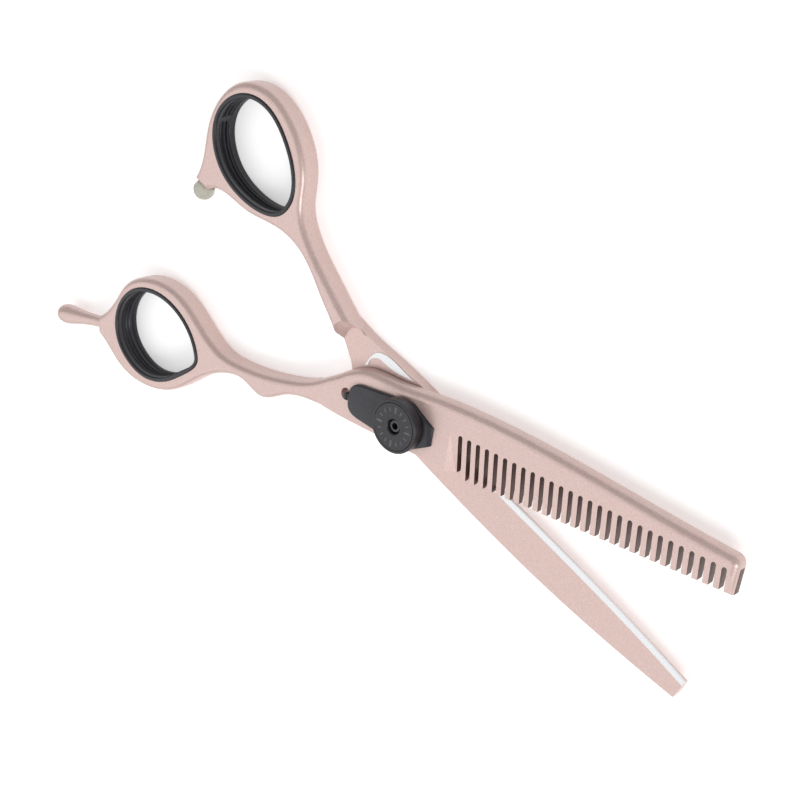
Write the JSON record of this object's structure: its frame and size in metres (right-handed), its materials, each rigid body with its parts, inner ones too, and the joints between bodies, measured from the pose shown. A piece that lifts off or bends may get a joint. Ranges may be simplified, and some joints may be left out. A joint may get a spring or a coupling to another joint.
{
  "type": "hair thinning shears",
  "caption": "Hair thinning shears with a toothed blade and a plain blade on an adjustable pivot, offset ring handles with soft liners, a screw-in finger rest and a stop bumper.",
  "frame": {"origin": "middle of the pivot screw's flat head, on its outer face, which is the lowest face when the shears lie with the tension dial up", "axes": "+Z along the pivot axis towards the tension dial, +X along the toothed blade towards its tip, +Y towards the blade's spine and the thumb ring"},
  "size_m": [0.1707, 0.0774, 0.0086],
  "materials": {
    "satin_paint": "satin rose-gold paint with a fine metallic grain over steel",
    "rest_paint": "satin rose-gold paint",
    "black_rubber": "semi-gloss moulded rubber",
    "black_plate": "black satin coated spring steel",
    "black_dial": "black satin coated, serrated side",
    "black_screw": "black oxide steel",
    "spring_steel": "plain spring steel",
    "bush_bronze": "plain bronze",
    "slide_plastic": "low-friction white plastic",
    "clear_silicone": "translucent silicone"
  },
  "bodies": {
    "toothed_side": {"toothed_blade_half": "satin_paint", "finger_ring_insert": "black_rubber", "finger_rest": "rest_paint", "pivot_screw": "black_screw", "head_slide_washer": "slide_plastic", "click_spring_plate": "black_plate", "disc_spring": "spring_steel"},
    "plain_side": {"plain_blade_half": "satin_paint", "thumb_ring_insert": "black_rubber", "stop_bumper": "clear_silicone", "pivot_bush": "bush_bronze", "glide_washer": "slide_plastic"},
    "dial": {"tension_dial": "black_dial"}
  },
  "joints": [
    {"name": "blade_pivot", "type": "hinge", "parent": "toothed_side", "child": "plain_side", "pos_m": [0, 0, 0], "axis": [0, 0, 1], "range_deg": [-65, 18.5]},
    {"name": "dial_turn", "type": "hinge", "parent": "toothed_side", "child": "dial", "pos_m": [0, 0, 0], "axis": [0, 0, 1], "range_deg": [-180, 180]}
  ]
}
